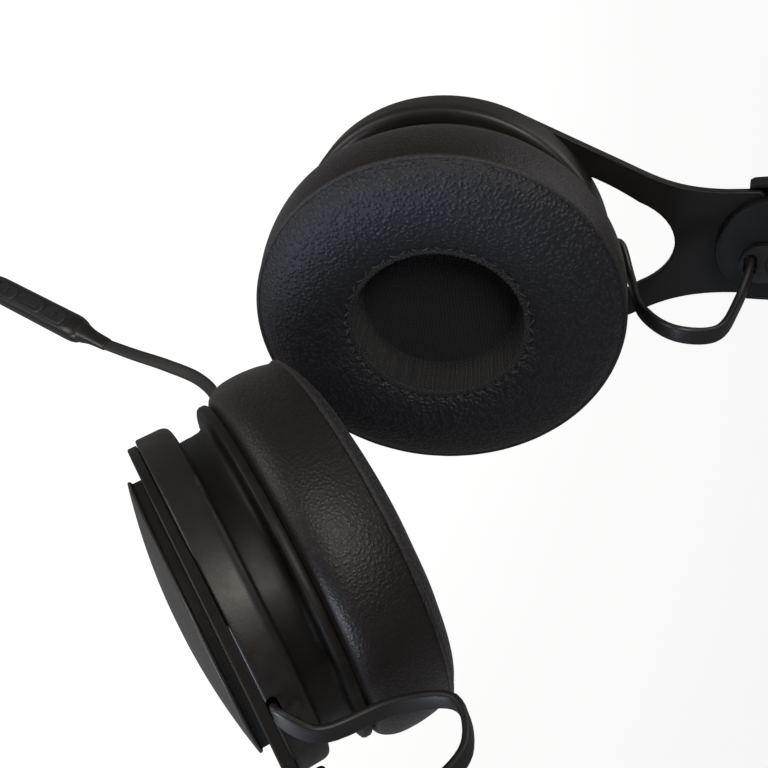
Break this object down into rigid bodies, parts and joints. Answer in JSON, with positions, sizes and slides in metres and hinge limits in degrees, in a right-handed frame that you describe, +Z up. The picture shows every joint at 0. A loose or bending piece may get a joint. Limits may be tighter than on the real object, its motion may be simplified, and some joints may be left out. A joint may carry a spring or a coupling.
{
  "type": "on-ear headset",
  "caption": "Wired on-ear stereo headset: sprung headband with sliding arms, tilting padded ear cups, flat cable with in-line remote and angled audio plug.",
  "frame": {"origin": "the middle of the crown pad's underside, where a head or a hook holds the headset up", "axes": "+Z up along the headband's middle plane, +X towards the left ear cup, -Y the way the wearer faces"},
  "size_m": [0.1636, 0.0925, 0.4412],
  "materials": {
    "housing": "fine matte moulding",
    "remote_shell": "satin moulding",
    "soft_plastic": "soft-touch",
    "arm_plate": "dark satin",
    "steel": "satin",
    "jack": "plated",
    "cable": "smooth flat jacket",
    "cushion": "soft pebbled leatherette",
    "crown_pad": "soft leatherette",
    "screen": "ribbed knit",
    "tie": "woven hook and loop",
    "magnet": "plated",
    "film": "thin translucent film",
    "board": "solder mask"
  },
  "bodies": {
    "headband": {"band_shell": "housing", "spring_band": "steel", "crown_pad": "crown_pad", "band_liner_left": "soft_plastic", "band_liner_right": "soft_plastic", "lead_boss_left": "soft_plastic", "lead_boss_right": "soft_plastic"},
    "left_arm": {"arm_plate_left": "arm_plate", "drum_left": "housing", "outer_cap_left": "housing", "plate_screw_left_1": "steel", "plate_screw_left_2": "steel", "plate_screw_left_3": "steel", "arm_lead_left": "cable", "cord_gland": "soft_plastic", "cord_upper": "cable", "remote_back": "remote_shell", "remote_front": "remote_shell", "remote_board": "board", "remote_relief_top": "soft_plastic", "remote_relief_end": "soft_plastic", "cord_lower": "cable", "cord_hank": "cable", "cord_tie": "tie", "cord_tail": "cable", "plug_relief": "soft_plastic", "plug_body": "remote_shell", "plug_pin": "jack"},
    "right_arm": {"arm_plate_right": "arm_plate", "drum_right": "housing", "outer_cap_right": "housing", "plate_screw_right_1": "steel", "plate_screw_right_2": "steel", "plate_screw_right_3": "steel", "arm_lead_right": "cable"},
    "left_gimbal": {"gimbal_left": "steel"},
    "right_gimbal": {"gimbal_right": "steel"},
    "left_cup": {"cup_body_left": "housing", "driver_frame_left": "soft_plastic", "driver_magnet_left": "magnet", "driver_diaphragm_left": "film", "ear_cushion_left": "cushion", "ear_screen_left": "screen"},
    "right_cup": {"cup_body_right": "housing", "driver_frame_right": "soft_plastic", "driver_magnet_right": "magnet", "driver_diaphragm_right": "film", "ear_cushion_right": "cushion", "ear_screen_right": "screen"},
    "up_button": {"remote_button_up": "soft_plastic"},
    "centre_button": {"remote_button_centre": "soft_plastic"},
    "down_button": {"remote_button_down": "soft_plastic"}
  },
  "joints": [
    {"name": "left_slide", "type": "slide", "parent": "headband", "child": "left_arm", "axis": [-0.4099, 0.0938, -0.9073], "range_m": [0, 0.012], "deforming": ["arm_lead_left"]},
    {"name": "right_slide", "type": "slide", "parent": "headband", "child": "right_arm", "axis": [0.4099, -0.0938, -0.9073], "range_m": [0, 0.012], "deforming": ["arm_lead_right"]},
    {"name": "left_tilt", "type": "hinge", "parent": "left_arm", "child": "left_gimbal", "pos_m": [0.03068, 0.01422, -0.13197], "axis": [0, -0.9947, -0.1028], "range_deg": [-5, 8.4]},
    {"name": "right_tilt", "type": "hinge", "parent": "right_arm", "child": "right_gimbal", "pos_m": [-0.03068, -0.01422, -0.13197], "axis": [0, 0.9947, -0.1028], "range_deg": [0, 16.9]},
    {"name": "left_turn", "type": "hinge", "parent": "left_gimbal", "child": "left_cup", "pos_m": [0.03068, 0.01422, -0.13197], "axis": [0.4099, -0.0938, 0.9073], "range_deg": [-4.1, 4.1]},
    {"name": "right_turn", "type": "hinge", "parent": "right_gimbal", "child": "right_cup", "pos_m": [-0.03068, -0.01422, -0.13197], "axis": [-0.5402, 0.0865, 0.8371], "range_deg": [-8.1, 0.1]},
    {"name": "up_press", "type": "slide", "parent": "left_arm", "child": "up_button", "axis": [-0.3543, 0.9191, -0.1723], "range_m": [0, 0.0004], "stiffness_N_per_m": 1200, "springref_m": -0.0004},
    {"name": "centre_press", "type": "slide", "parent": "left_arm", "child": "centre_button", "axis": [-0.3543, 0.9191, -0.1723], "range_m": [0, 0.0004], "stiffness_N_per_m": 1200, "springref_m": -0.0004},
    {"name": "down_press", "type": "slide", "parent": "left_arm", "child": "down_button", "axis": [-0.3543, 0.9191, -0.1723], "range_m": [0, 0.0004], "stiffness_N_per_m": 1200, "springref_m": -0.0004}
  ]
}
